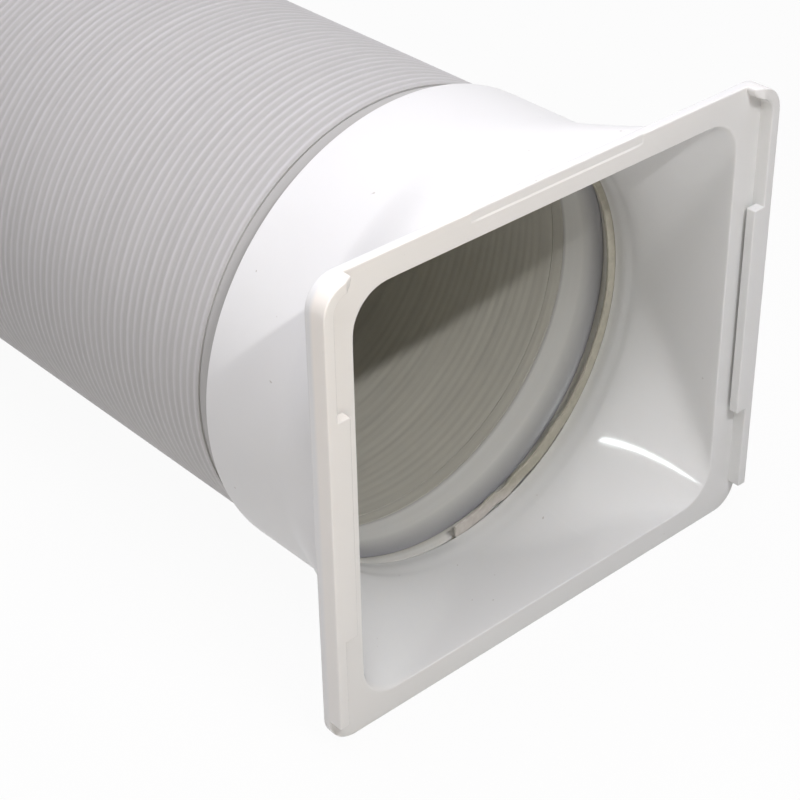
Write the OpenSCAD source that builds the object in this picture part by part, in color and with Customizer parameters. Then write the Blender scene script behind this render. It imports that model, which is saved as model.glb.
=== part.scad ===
// Flexible air duct with a round-to-rectangular mouth adapter.
// Origin: centre of the adapter's mouth, in the plane of its flange face.
// +Y runs along the duct's axis, away from the mouth; +Z is up.

/* [Duct] */
// Outside diameter of the duct over the crests of its ribs
duct_od = 150; // [130:1:180]
// Distance between two ribs, with the duct pushed together
rib_pitch = 3.3; // [2.8:0.1:4.2]
// Height of a rib's crest above the valley beside it
rib_height = 1.6; // [0.8:0.1:2.2]
// Radial thickness of the folded wall between an outer valley and the bore
pleat_wall = 2.9; // [2:0.1:4]
// Ribs in the stretch next to the adapter, which draws out
near_ribs = 34; // [12:1:60]
// Ribs in each of the three stretches that bend
bend_ribs = 14; // [8:1:24]
// Ribs in the stretch beyond the bends, which draws out
far_ribs = 36; // [12:1:60]
// Ribs in each stiff ring between two stretches
ring_ribs = 2; // [1:1:4]

/* [Duct ends] */
// How far the smooth near cuff lies below the crests of the ribs
cuff_step = 0.8; // [0.3:0.1:1.5]
// Thickness of the near cuff's skin
cuff_skin = 1.2; // [0.8:0.1:1.8]
// Length of the near cuff that shows between the adapter and the first rib
cuff_show = 6.7; // [4:0.1:15]
// Distance from the cuff's front edge to the front edge of its liner
liner_setback = 4.1; // [2:0.1:8]
// Thickness of the liner's sleeve
liner_wall = 1.2; // [0.8:0.1:1.6]
// Gap between the liner and the cuff round it
liner_gap = 0.1; // [0.05:0.05:0.2]
// Depth of the pleated band inside the cuff, behind the liner
inner_band = 4.7; // [3:0.1:8]
// How far the far cuff's bore, which pushes over a spigot, lies below the crests of the ribs
far_inset = 4; // [3:0.1:8]
// Thickness of the far cuff's wall
far_wall = 2.4; // [1.6:0.1:3.5]
// Length of the far cuff
far_cuff_len = 45; // [30:1:80]
// Width of the bead round each end of the far cuff
bead_w = 3.0; // [2:0.1:5]
// How far the far cuff's beads stand above the ribs
bead_rise = 0.4; // [0.2:0.1:1.5]

/* [Adapter collar] */
// Gap round the cuff in the collar's bore
collar_gap = 0.4; // [0.3:0.05:0.8]
// Thickness of the collar's wall round the bore
collar_wall = 2.5; // [2:0.1:4]
// Distance from the flange face to the collar's rear edge
collar_end = 63.3; // [55:0.1:80]
// Distance from the flange face to the shoulder inside the collar
shoulder_y = 43; // [38:0.1:50]
// How far the shoulder reaches inward from the collar's bore
shoulder_reach = 2.6; // [1.5:0.1:3.2]
// Distance from the flange face to where the flare becomes round outside
flare_end = 31; // [26:0.5:36]
// Distance from the flange face to where the flare becomes round inside
flare_bore_end = 34; // [28:0.5:37]

/* [Sealing strip] */
// Thickness of the strip that lies on the shoulder
strip_t = 1.8; // [1:0.1:2.5]
// How far the strip stands inward past the shoulder
strip_overhang = 2.5; // [1:0.1:3.5]
// Gap between the strip and the cuff's front edge
strip_gap = 0.3; // [0.2:0.05:0.6]

/* [Adapter flange] */
// Width of the flange
flange_w = 174; // [170:1:220]
// Height of the flange
flange_h = 153; // [150:1:200]
// Thickness of the flange plate
flange_t = 3.2; // [2:0.1:5]
// Radius of the flange's outer corners
flange_r = 9; // [6:0.5:16]
// Width of the rectangular mouth
mouth_w = 148; // [140:1:150]
// Height of the rectangular mouth
mouth_h = 136; // [130:1:140]
// Radius of the mouth's corners
mouth_r = 12; // [8:0.5:16]
// Wall of the flare where it leaves the flange
flare_wall = 2.6; // [2:0.1:3.4]
// Radius of the flare's outer corners where it leaves the flange
flare_r = 26; // [20:0.5:28]
// How hollow the flare's sides are along the duct; 1 is straight
flare_curve = 1.4; // [1:0.05:1.6]
// Length of the fillet between the flare and the back of the flange plate
foot_len = 8; // [4:0.5:12]
// Narrow edge of the flange plate that this fillet leaves free
foot_edge = 0.6; // [0.4:0.1:2]

/* [Rails] */
// Width of the lip along each side of the flange
lip_w = 3.4; // [2.5:0.1:5]
// Height of the lip in front of the flange face
lip_h = 4.5; // [3.5:0.1:7]
// Height of the lip's lower end above the flange's bottom edge
lip_start = 9.5; // [6:0.5:20]
// Distance from the flange's side to the end of the lip's hook along the top
hook_reach = 14; // [10:0.5:25]
// Length of the ramp at the end of that hook
hook_ramp = 5; // [2:0.5:8]
// Length of the bar that overhangs the face at the middle of each lip
bar_len = 73; // [40:1:100]
// How far the bar reaches inward from the lip
bar_reach = 4.2; // [2:0.1:5]
// Thickness of the bar, from its front face to the slot behind it
bar_t = 3.3; // [2:0.1:3.5]
// Width of the shallow relief at the middle of the flange's top edge
relief_w = 65; // [30:1:100]
// Height of that relief below the top edge
relief_h = 3.4; // [2:0.1:4.5]
// Depth of that relief
relief_d = 0.6; // [0.3:0.1:1.2]

/* [Hidden] */

// Round edges are true curves; this count only sets how they are drawn
round_fn = 96;
// Points on each quarter of a flare section, and steps along the flare and along its fillet
corner_points = 9;
flare_steps = 5;
foot_steps = 4;
// Shortest side that a flare section keeps where it has become round
thin = 0.02;
// Cutters run past the faces they cut by this much
over = 1;
// Parts of one moulding run into each other by this much
merge = 0.4;

crest_r = duct_od / 2;
valley_r = crest_r - rib_height;
inner_r = valley_r - pleat_wall;

cuff_r = crest_r - cuff_step;
cuff_bore_r = cuff_r - cuff_skin;
cuff_start = shoulder_y + strip_t + strip_gap;
cuff_end = collar_end + cuff_show;
band_start = cuff_end - inner_band;
liner_start = cuff_start + liner_setback;
liner_end = band_start - liner_gap;

bore_r = cuff_r + collar_gap;
collar_r = bore_r + collar_wall;
shoulder_r = bore_r - shoulder_reach;
strip_r = shoulder_r - strip_overhang;

bends = 3;
rings_y = cuff_end + near_ribs * rib_pitch;
hose_far_y = rings_y + (bends * (bend_ribs + ring_ribs) + ring_ribs) * rib_pitch;
far_cuff_y = hose_far_y + far_ribs * rib_pitch;
duct_end = far_cuff_y + far_cuff_len;

white_plastic = [0.93, 0.93, 0.92];
grey_plastic = [0.72, 0.72, 0.72];
liner_plastic = [0.66, 0.66, 0.64];
tan_foam = [0.66, 0.60, 0.50];

// Turns a profile, given as [radius, distance along the duct], round the +Y axis
module turned(profile)
    rotate([-90, 0, 0])
        rotate_extrude($fn = round_fn)
            polygon([for (p = profile) [p[0], p[1]]]);

// Draws a flat outline in the XZ plane and runs it from y0 to y1
module upright(y0, y1)
    translate([0, y1, 0])
        rotate([90, 0, 0])
            linear_extrude(height = y1 - y0)
                children();

// Outline of a rounded rectangle with half sizes a and b and corner radius r
function outline(a, b, r) = [
    for (corner = [0 : 3], i = [0 : corner_points])
        let (angle = 90 * corner + 90 * i / corner_points,
             sx = (corner == 0 || corner == 3) ? 1 : -1,
             sz = corner < 2 ? 1 : -1)
            [sx * (a - r) + r * cos(angle), sz * (b - r) + r * sin(angle)]
];

// Rectangle with round corners, centred on the axis
module round_rect(w, h, r)
    polygon(outline(w / 2, h / 2, r));

// Outline [half width, half height, corner radius] that lies at a share of the way from the first
// outline to the second
function between(first, second, share) = first + (second - first) * share;

// Outline of a flare that hollows out from the rectangle at y0 to the circle at y1
function flare_outline(rectangle, y0, circle_r, y1, y) =
    between([circle_r, circle_r, circle_r - thin], rectangle, pow((y1 - y) / (y1 - y0), flare_curve));

// Solid whose skin runs through sections [outline, y]
module skin(sections) {
    ring = 4 * (corner_points + 1);
    last = len(sections) - 1;
    points = [
        for (section = sections, p = outline(section[0][0], section[0][1], section[0][2]))
            [p[0], section[1], p[1]]
    ];
    sides = [
        for (step = [0 : last - 1], i = [0 : ring - 1])
            let (j = (i + 1) % ring, lo = step * ring, hi = lo + ring)
                each [[lo + i, hi + j, hi + i], [lo + i, lo + j, hi + j]]
    ];
    front = [for (i = [ring - 1 : -1 : 0]) i];
    back = [for (i = [0 : ring - 1]) last * ring + i];
    polyhedron(points = points, faces = concat(sides, [front], [back]));
}

// Outside of the flare, with the fillet that spreads from it over the back of the flange plate
module flare_outside() {
    rectangle = [mouth_w / 2 + flare_wall, mouth_h / 2 + flare_wall, flare_r];
    plate = [flange_w / 2 - foot_edge, flange_h / 2 - foot_edge, flange_r - foot_edge];
    foot_end = flange_t + foot_len;
    fillet = [
        for (step = [foot_steps : -1 : 1])
            let (angle = 90 * step / foot_steps, y = foot_end - foot_len * sin(angle))
                [between(flare_outline(rectangle, flange_t, collar_r - merge, flare_end, y), plate,
                         1 - cos(angle)), y]
    ];
    flare = [
        for (step = [0 : flare_steps])
            let (y = foot_end + (flare_end - foot_end) * step / flare_steps)
                [flare_outline(rectangle, flange_t, collar_r - merge, flare_end, y), y]
    ];
    skin(concat([[plate, flange_t - merge]], fillet, flare));
}

// Inside of the flare, from in front of the mouth to where it becomes round
module flare_inside() {
    rectangle = [mouth_w / 2, mouth_h / 2, mouth_r];
    flare = [
        for (step = [0 : flare_steps])
            let (y = flare_bore_end * step / flare_steps)
                [flare_outline(rectangle, 0, shoulder_r - merge, flare_bore_end, y), y]
    ];
    skin(concat([[rectangle, -over]], flare));
}

// The lip stands along the flange's outline, down both sides and round the top corners
module lip_outline() {
    hook_x = flange_w / 2 - hook_reach;
    foot_z = lip_start - flange_h / 2;
    for (side = [-1, 1]) {
        intersection() {
            difference() {
                round_rect(flange_w, flange_h, flange_r);
                round_rect(flange_w - 2 * lip_w, flange_h - 2 * lip_w, flange_r - lip_w);
            }
            translate([side > 0 ? hook_x : -flange_w / 2, foot_z + lip_w / 2])
                square([hook_reach, flange_h]);
        }
        translate([side * (flange_w - lip_w) / 2, foot_z + lip_w / 2])
            circle(d = lip_w, $fn = 12);
    }
}

// Wedge that slopes the end of a hook down to the flange face
module hook_cutter(side)
    translate([side * (flange_w / 2 - hook_reach), 0, flange_h / 2 - lip_w - over])
        linear_extrude(height = lip_w + 2 * over)
            polygon([[-side * over, -lip_h - over],
                     [side * hook_ramp, -lip_h - over],
                     [side * hook_ramp, -lip_h],
                     [0, -lip_h / 4],
                     [-side * over, -lip_h / 4]]);

module rails() {
    difference() {
        upright(-lip_h, merge)
            lip_outline();
        for (side = [-1, 1])
            hook_cutter(side);
    }
    for (side = [-1, 1])
        translate([side * (flange_w / 2 - lip_w - bar_reach / 2 + merge / 2),
                   bar_t / 2 - lip_h, 0])
            cube([bar_reach + merge, bar_t, bar_len], center = true);
}

module adapter_shell()
    color(white_plastic)
        difference() {
            union() {
                upright(0, flange_t)
                    round_rect(flange_w, flange_h, flange_r);
                flare_outside();
                translate([0, flare_end - merge, 0])
                    rotate([-90, 0, 0])
                        cylinder(r = collar_r, h = collar_end - flare_end + merge, $fn = round_fn);
                rails();
            }
            flare_inside();
            translate([0, flare_bore_end - merge, 0])
                rotate([-90, 0, 0])
                    cylinder(r = shoulder_r, h = shoulder_y - flare_bore_end + 2 * merge,
                             $fn = round_fn);
            translate([0, shoulder_y, 0])
                rotate([-90, 0, 0])
                    cylinder(r = bore_r, h = collar_end - shoulder_y + over, $fn = round_fn);
            translate([-relief_w / 2, -over, flange_h / 2 - relief_h])
                cube([relief_w, over + relief_d, relief_h + over]);
        }

module sealing_strip()
    color(tan_foam)
        turned([[strip_r, shoulder_y], [bore_r - collar_gap, shoulder_y],
                [bore_r - collar_gap, shoulder_y + strip_t], [strip_r, shoulder_y + strip_t]]);

module near_cuff() {
    ridge = inner_band / 3;
    color(grey_plastic)
        turned([[cuff_bore_r, cuff_start], [cuff_r, cuff_start], [cuff_r, cuff_end],
                [inner_r, cuff_end], [inner_r, cuff_end - ridge],
                [inner_r + rib_height, cuff_end - 1.5 * ridge],
                [inner_r, cuff_end - 2 * ridge], [inner_r, band_start],
                [cuff_bore_r, band_start]]);
}

module cuff_liner() {
    sleeve_r = inner_r + liner_wall;
    rim_r = cuff_bore_r - liner_gap;
    color(liner_plastic)
        turned([[inner_r, liner_start], [rim_r, liner_start],
                [rim_r, liner_start + liner_wall], [sleeve_r, liner_start + liner_wall],
                [sleeve_r, liner_end - liner_wall], [rim_r, liner_end - liner_wall],
                [rim_r, liner_end], [inner_r, liner_end]]);
}

// A length of pleated wall, whose ribs start and end in a valley
module pleats(start, ribs)
    color(grey_plastic)
        turned(concat(
            [for (k = [0 : 2 * ribs])
                [k % 2 == 0 ? valley_r : crest_r, start + k * rib_pitch / 2]],
            [for (k = [2 * ribs : -1 : 0])
                [k % 2 == 0 ? inner_r : inner_r + rib_height, start + k * rib_pitch / 2]]));

module hose_near()
    pleats(cuff_end, near_ribs);

// The stiff rings and the stretches that bend take turns, starting with a ring
module hose_ring(number)
    pleats(rings_y + (number - 1) * (ring_ribs + bend_ribs) * rib_pitch, ring_ribs);

module hose_bend(number)
    pleats(rings_y + (number * ring_ribs + (number - 1) * bend_ribs) * rib_pitch, bend_ribs);

module hose_far()
    pleats(hose_far_y, far_ribs);

module far_cuff() {
    bore = crest_r - far_inset;
    wall = bore + far_wall;
    bead = crest_r + bead_rise;
    color(grey_plastic)
        turned([[bore, far_cuff_y], [bead, far_cuff_y], [bead, far_cuff_y + bead_w],
                [wall, far_cuff_y + bead_w], [wall, duct_end - bead_w],
                [bead, duct_end - bead_w], [bead, duct_end], [bore, duct_end]]);
}

adapter_shell();
sealing_strip();
near_cuff();
cuff_liner();
hose_near();
hose_ring(1);  // hose_ring_1
hose_bend(1);  // hose_bend_1
hose_ring(2);  // hose_ring_2
hose_bend(2);  // hose_bend_2
hose_ring(3);  // hose_ring_3
hose_bend(3);  // hose_bend_3
hose_ring(4);  // hose_ring_4
hose_far();
far_cuff();
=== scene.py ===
# %% [markdown]
# # A flexible air duct in its mouth adapter
#
# The object is a ribbed plastic duct, pushed together, whose smooth cuff sits in a white moulded adapter.
# The adapter turns from a round collar to a rectangular mouth, with a flange and two side rails that grip
# a window panel. The solid model already holds every size, so this lesson only dresses it: each piece
# below is modelled again with finer edges, and takes its place from the box of the part it stands for.

# %% Load the solid model
import math

import bmesh
import bpy
from mathutils import Matrix, Vector, noise


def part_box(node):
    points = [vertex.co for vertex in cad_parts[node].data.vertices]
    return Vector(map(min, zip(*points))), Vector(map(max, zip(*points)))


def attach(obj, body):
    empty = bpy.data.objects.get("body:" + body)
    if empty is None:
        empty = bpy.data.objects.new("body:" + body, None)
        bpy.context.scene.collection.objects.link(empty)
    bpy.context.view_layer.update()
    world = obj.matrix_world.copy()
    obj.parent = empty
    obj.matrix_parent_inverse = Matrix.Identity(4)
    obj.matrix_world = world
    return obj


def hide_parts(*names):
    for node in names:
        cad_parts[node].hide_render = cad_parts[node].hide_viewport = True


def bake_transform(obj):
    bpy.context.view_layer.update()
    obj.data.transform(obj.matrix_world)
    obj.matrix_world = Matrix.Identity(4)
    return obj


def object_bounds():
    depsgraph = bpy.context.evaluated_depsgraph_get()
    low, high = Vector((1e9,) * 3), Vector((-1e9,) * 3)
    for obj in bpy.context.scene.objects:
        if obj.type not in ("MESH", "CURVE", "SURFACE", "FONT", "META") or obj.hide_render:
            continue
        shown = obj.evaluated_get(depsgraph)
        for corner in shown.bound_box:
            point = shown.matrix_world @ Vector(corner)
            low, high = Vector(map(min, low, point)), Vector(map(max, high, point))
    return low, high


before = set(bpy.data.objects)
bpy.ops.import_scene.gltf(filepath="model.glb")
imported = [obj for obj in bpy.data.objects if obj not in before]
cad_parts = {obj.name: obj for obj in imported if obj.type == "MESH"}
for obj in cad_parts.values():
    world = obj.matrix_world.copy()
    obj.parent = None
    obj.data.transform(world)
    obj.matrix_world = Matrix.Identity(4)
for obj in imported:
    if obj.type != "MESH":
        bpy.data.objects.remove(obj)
cad_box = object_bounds()
MM = 0.001
print("solid model:", [round(side / MM, 1) for side in cad_box[1] - cad_box[0]], "mm")

# %% [markdown]
# ## Camera
#
# The view looks into the mouth from its upper left. A long lens keeps the rectangle nearly free of
# converging lines. The angles below were found from the flange's straight edges, so the camera is placed
# by them and not aimed at the object by eye.

# %% Camera
CAMERA_PLACE = Vector((-358.5, -341.8, 333.9)) * MM
CAMERA_AZIMUTH = math.radians(-41.26)
CAMERA_ELEVATION = math.radians(33.76)
CAMERA_ROLL = math.radians(-1.08)
FOCAL_LENGTH = 93.13
SENSOR_WIDTH = 36.0


def camera_turn(azimuth, elevation, roll):
    """Turns the camera so that it looks down by the elevation and round by the azimuth."""
    ahead = Vector((-math.sin(azimuth) * math.cos(elevation),
                    math.cos(azimuth) * math.cos(elevation),
                    -math.sin(elevation)))
    right = ahead.cross(Vector((0, 0, 1))).normalized()
    up = right.cross(ahead)
    right_rolled = right * math.cos(roll) + up * math.sin(roll)
    up_rolled = up * math.cos(roll) - right * math.sin(roll)
    return Matrix((right_rolled, up_rolled, -ahead)).transposed()


camera_data = bpy.data.cameras.new("camera")
camera_data.lens = FOCAL_LENGTH
camera_data.sensor_width = SENSOR_WIDTH
camera = bpy.data.objects.new("camera", camera_data)
camera.matrix_world = camera_turn(CAMERA_AZIMUTH, CAMERA_ELEVATION, CAMERA_ROLL).to_4x4()
camera.location = CAMERA_PLACE
bpy.context.scene.collection.objects.link(camera)
bpy.context.scene.camera = camera
bpy.context.scene.view_settings.view_transform = "Standard"
print("camera stands", round(CAMERA_PLACE.length, 3), "m from the mouth")

# %% [markdown]
# ## Lamps
#
# White plastic shows its form only where the light on it differs from side to side. One big lamp would
# light everything alike, so four lamps share the work. A narrow strip in front of the mouth and above it
# throws the long, sharp shadow of the flange's top edge into the duct. A wide soft lamp overhead whitens
# the top of the adapter. A small warm lamp near the floor fills the flare, and a weak one at the left
# lifts the shaded flank. They are kept out of the gloss, where a square lamp would leave a square image.

# %% Lamps
LEVEL = Vector((1, 0, 0))
mouth_centre = Vector((0, 0, 0))
duct_middle = Vector((0, 0.15, 0))
collar_middle = Vector((0, 0.035, 0))
KEY_PLACE = Vector((-0.09, -0.45, 0.545))
KEY_SIZE = (0.26, 0.016)
KEY_POWER = 2.5
KEY_COLOUR = (1.0, 0.99, 1.0)
TOP_PLACE = Vector((-0.15, 0.12, 1.3))
TOP_POWER = 17.4
TOP_COLOUR = (0.98, 0.95, 1.0)
NEAR_PLACE = Vector((-0.32, -0.34, 0.10))
NEAR_POWER = 0.19
NEAR_COLOUR = (1.0, 0.93, 0.72)
LEFT_PLACE = Vector((-0.40, 0.035, 0.22))
LEFT_POWER = 0.05
LEFT_COLOUR = (1.0, 0.98, 1.0)
LEFT_BEAM = math.radians(70)


def area_lamp(name, place, ahead, along, size, power, colour):
    """A rectangular lamp that shines ahead, with its width laid along a direction."""
    data = bpy.data.lights.new(name, "AREA")
    data.shape = "RECTANGLE"
    data.size, data.size_y = size
    data.energy = power
    data.color = colour
    back = -ahead.normalized()
    width = (along - back * along.dot(back)).normalized()
    lamp = bpy.data.objects.new(name, data)
    lamp.matrix_world = Matrix((width, back.cross(width), back)).transposed().to_4x4()
    lamp.location = place
    bpy.context.scene.collection.objects.link(lamp)
    return lamp


def soft_lamp(name, place, target, side, power, colour):
    """A square lamp aimed at a point. It isn't mirrored, so that it leaves no square in the gloss."""
    lamp = area_lamp(name, place, target - place, LEVEL, (side, side), power, colour)
    lamp.visible_glossy = False
    return lamp


key = area_lamp("key_strip", KEY_PLACE, Vector((0, -KEY_PLACE.y, -KEY_PLACE.z)), LEVEL, KEY_SIZE,
                KEY_POWER, KEY_COLOUR)
key.visible_glossy = False
soft_lamp("top_soft", TOP_PLACE, duct_middle, 1.2, TOP_POWER, TOP_COLOUR)
soft_lamp("near_fill", NEAR_PLACE, mouth_centre, 0.15, NEAR_POWER, NEAR_COLOUR)
left_fill = soft_lamp("left_fill", LEFT_PLACE, collar_middle, 0.2, LEFT_POWER, LEFT_COLOUR)
left_fill.data.spread = LEFT_BEAM

# %% [markdown]
# ## Streak
#
# Glossy plastic is told from matt by what it mirrors. The bright streak in the flare is the mirror image
# of a long thin lamp that stands to the left. Its place was found by tracing the view rays back from the
# flare's corner. A painted streak would stay put when the view changes, and this one moves as it should.
# The lamp is for the gloss alone, so it is hidden from the matt part of every surface.

# %% Streak lamp
STREAK_ENDS = (Vector((-0.86, -0.60, 0.795)), Vector((-0.295, -0.60, 0.175)))
STREAK_WIDTH = 0.044
STREAK_POWER = 5.0
STREAK_COLOUR = (0.92, 1.0, 1.0)
streak_middle = (STREAK_ENDS[0] + STREAK_ENDS[1]) / 2
streak_side = STREAK_ENDS[1] - STREAK_ENDS[0]
streak = area_lamp("streak_strip", streak_middle, mouth_centre - streak_middle, streak_side,
                   (streak_side.length, STREAK_WIDTH), STREAK_POWER, STREAK_COLOUR)
streak.visible_diffuse = False
print("streak lamp is", round(streak_side.length, 2), "m long")

# %% [markdown]
# ## Surroundings
#
# The background is plain white, yet a white room would flood the object with light and wash out its
# shadows. So the world has two faces. What looks at it directly sees white, and what carries light
# gets only a faint warm glow from it. The Light Path node tells the two kinds of ray apart.

# %% World
WORLD_COLOUR = (1.0, 0.95, 0.9, 1.0)
WORLD_STRENGTH = 0.01
WHITE = (1.0, 1.0, 1.0, 1.0)


def seen_directly(nodes, links):
    """1 for rays from the camera, a mirror or clear stuff, and 0 for rays that carry light."""
    path = nodes.new("ShaderNodeLightPath")
    camera_or_gloss = nodes.new("ShaderNodeMath")
    camera_or_gloss.operation = "MAXIMUM"
    links.new(path.outputs["Is Camera Ray"], camera_or_gloss.inputs[0])
    links.new(path.outputs["Is Glossy Ray"], camera_or_gloss.inputs[1])
    seen = nodes.new("ShaderNodeMath")
    seen.operation = "MAXIMUM"
    links.new(camera_or_gloss.outputs[0], seen.inputs[0])
    links.new(path.outputs["Is Transmission Ray"], seen.inputs[1])
    return seen.outputs[0]


world = bpy.data.worlds.new("pale_room")
bpy.context.scene.world = world
world.use_nodes = True
sky = world.node_tree
sky.nodes.clear()
room_light = sky.nodes.new("ShaderNodeBackground")
room_light.inputs["Color"].default_value = WORLD_COLOUR
room_light.inputs["Strength"].default_value = WORLD_STRENGTH
plain_white = sky.nodes.new("ShaderNodeBackground")
plain_white.inputs["Color"].default_value = WHITE
choose = sky.nodes.new("ShaderNodeMixShader")
world_out = sky.nodes.new("ShaderNodeOutputWorld")
sky.links.new(seen_directly(sky.nodes, sky.links), choose.inputs[0])
sky.links.new(room_light.outputs[0], choose.inputs[1])
sky.links.new(plain_white.outputs[0], choose.inputs[2])
sky.links.new(choose.outputs[0], world_out.inputs[0])

# %% [markdown]
# ## Floor
#
# The object lies on a pale floor, whose edge must not show. It could be left out, but a contact shadow
# is what makes a thing stand on something. The floor is therefore a real matt plane.
# Most of what looks at it directly sees plain white, and a small share of its true shading is left,
# which is enough to keep the shadow.

# %% Floor
FLOOR_SIDE = 12.0
FLOOR_GREY = (0.62, 0.61, 0.60, 1.0)
FLOOR_GLOW_SHARE = 0.95


def floor_material():
    """Pale matt floor, lifted towards white for what looks at it directly."""
    material = bpy.data.materials.new("pale_floor")
    material.use_nodes = True
    nodes, links = material.node_tree.nodes, material.node_tree.links
    shader = nodes["Principled BSDF"]
    shader.inputs["Base Color"].default_value = FLOOR_GREY
    shader.inputs["Roughness"].default_value = 0.9
    glow = nodes.new("ShaderNodeEmission")
    glow.inputs["Color"].default_value = WHITE
    share = nodes.new("ShaderNodeMath")
    share.operation = "MULTIPLY"
    share.inputs[1].default_value = FLOOR_GLOW_SHARE
    links.new(seen_directly(nodes, links), share.inputs[0])
    mix = nodes.new("ShaderNodeMixShader")
    links.new(share.outputs[0], mix.inputs[0])
    links.new(shader.outputs[0], mix.inputs[1])
    links.new(glow.outputs[0], mix.inputs[2])
    links.new(mix.outputs[0], nodes["Material Output"].inputs["Surface"])
    return material


floor_bm = bmesh.new()
bmesh.ops.create_grid(floor_bm, x_segments=1, y_segments=1, size=FLOOR_SIDE / 2)
bmesh.ops.translate(floor_bm, vec=(0, 0, cad_box[0].z), verts=floor_bm.verts)
floor_mesh = bpy.data.meshes.new("floor")
floor_bm.to_mesh(floor_mesh)
floor_bm.free()
floor = bpy.data.objects.new("floor", floor_mesh)
floor.data.materials.append(floor_material())
bpy.context.scene.collection.objects.link(floor)
print("floor lies at", round(cad_box[0].z / MM, 1), "mm")

# %% [markdown]
# ## Materials
#
# Four plastics make the whole object, and each starts from one Principled shader. Textures could be
# painted as images, but noise in object space needs no image, has no seams and keeps its grain at any
# distance. The helpers below each add one kind of node, so that a material reads as a short list of what
# varies its colour, its roughness and its bump. No surface is then one flat colour.

# %% Material helpers
def plastic(name, colour, roughness, subsurface=0.0):
    """A material with one Principled shader, and its node tree, ready for texture."""
    material = bpy.data.materials.new(name)
    material.use_nodes = True
    tree = material.node_tree
    shader = tree.nodes["Principled BSDF"]
    shader.inputs["Base Color"].default_value = (*colour, 1.0)
    shader.inputs["Roughness"].default_value = roughness
    shader.inputs["Subsurface Weight"].default_value = subsurface
    shader.inputs["Subsurface Radius"].default_value = (1.0, 0.9, 0.8)
    shader.inputs["Subsurface Scale"].default_value = 2.0 * MM
    return material, tree, shader


def noise_field(tree, scale, detail, stretch=(1.0, 1.0, 1.0)):
    """Noise over the object's own coordinates; a stretch above 1 packs it along that axis."""
    place = tree.nodes.new("ShaderNodeTexCoord")
    mapping = tree.nodes.new("ShaderNodeMapping")
    mapping.inputs["Scale"].default_value = stretch
    field = tree.nodes.new("ShaderNodeTexNoise")
    field.inputs["Scale"].default_value = scale
    field.inputs["Detail"].default_value = detail
    tree.links.new(place.outputs["Object"], mapping.inputs["Vector"])
    tree.links.new(mapping.outputs["Vector"], field.inputs["Vector"])
    return field.outputs["Fac"]


def object_place(tree):
    """The three coordinates of a point in its own object."""
    place = tree.nodes.new("ShaderNodeTexCoord")
    split = tree.nodes.new("ShaderNodeSeparateXYZ")
    tree.links.new(place.outputs["Object"], split.inputs["Vector"])
    return split


def remap(tree, value, low, high, to_low, to_high):
    """Maps a value's range to another, clamped."""
    node = tree.nodes.new("ShaderNodeMapRange")
    node.inputs["From Min"].default_value = low
    node.inputs["From Max"].default_value = high
    node.inputs["To Min"].default_value = to_low
    node.inputs["To Max"].default_value = to_high
    tree.links.new(value, node.inputs["Value"])
    return node.outputs["Result"]


def mix_colour(tree, factor, dark, light):
    """Blends two colours by a factor from 0 to 1."""
    node = tree.nodes.new("ShaderNodeMix")
    node.data_type = "RGBA"
    tree.links.new(factor, node.inputs["Factor"])
    for socket, colour in (("A", dark), ("B", light)):
        target = next(s for s in node.inputs if s.name == socket and s.type == "RGBA")
        if isinstance(colour, tuple):
            target.default_value = (*colour, 1.0)
        else:
            tree.links.new(colour, target)
    return next(s for s in node.outputs if s.type == "RGBA")


def bump(tree, shader, height, strength, distance):
    """Raises the surface's shading by a height field."""
    node = tree.nodes.new("ShaderNodeBump")
    node.inputs["Strength"].default_value = strength
    node.inputs["Distance"].default_value = distance
    tree.links.new(height, node.inputs["Height"])
    tree.links.new(node.outputs["Normal"], shader.inputs["Normal"])


def attribute(tree, name):
    """A number that the mesh carries on its points."""
    node = tree.nodes.new("ShaderNodeAttribute")
    node.attribute_name = name
    return node.outputs["Fac"]


# %% [markdown]
# ### Adapter
#
# The adapter is hard white plastic, smooth inside the flare and a little duller outside, where it was
# handled. Its front is painted paler and warmer towards the upper left, a painted pool of warm light.
# The colour is clouded a little, and a few dark specks are moulded in. The painted light depends on
# the place and not on a mask, so it fades softly.

# %% Adapter plastic
# Painted light: the front is painted paler and warmer towards the upper left, a pool of warm light.
FRONT_PAINTED_LIGHT = (0.90, 0.86, 0.80)
LIGHT_POOL_FROM, LIGHT_POOL_TO = -60 * MM, 163 * MM
SATIN_OUTSIDE = 0.24


def math_node(tree, operation, first, second):
    """A sum, difference or product of two values."""
    node = tree.nodes.new("ShaderNodeMath")
    node.operation = operation
    tree.links.new(first, node.inputs[0])
    tree.links.new(second, node.inputs[1])
    return node.outputs[0]


def painted_light_pool(tree):
    """How much painted warm light the front gets: only on the front, and most towards the upper left."""
    place = object_place(tree)
    front = remap(tree, place.outputs["Y"], 1.5 * MM, 0.0, 0.0, 1.0)
    upper_left = math_node(tree, "SUBTRACT", place.outputs["Z"], place.outputs["X"])
    painted_light_side = remap(tree, upper_left, LIGHT_POOL_FROM, LIGHT_POOL_TO, 0.0, 0.9)
    return math_node(tree, "MULTIPLY", front, painted_light_side)


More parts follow.
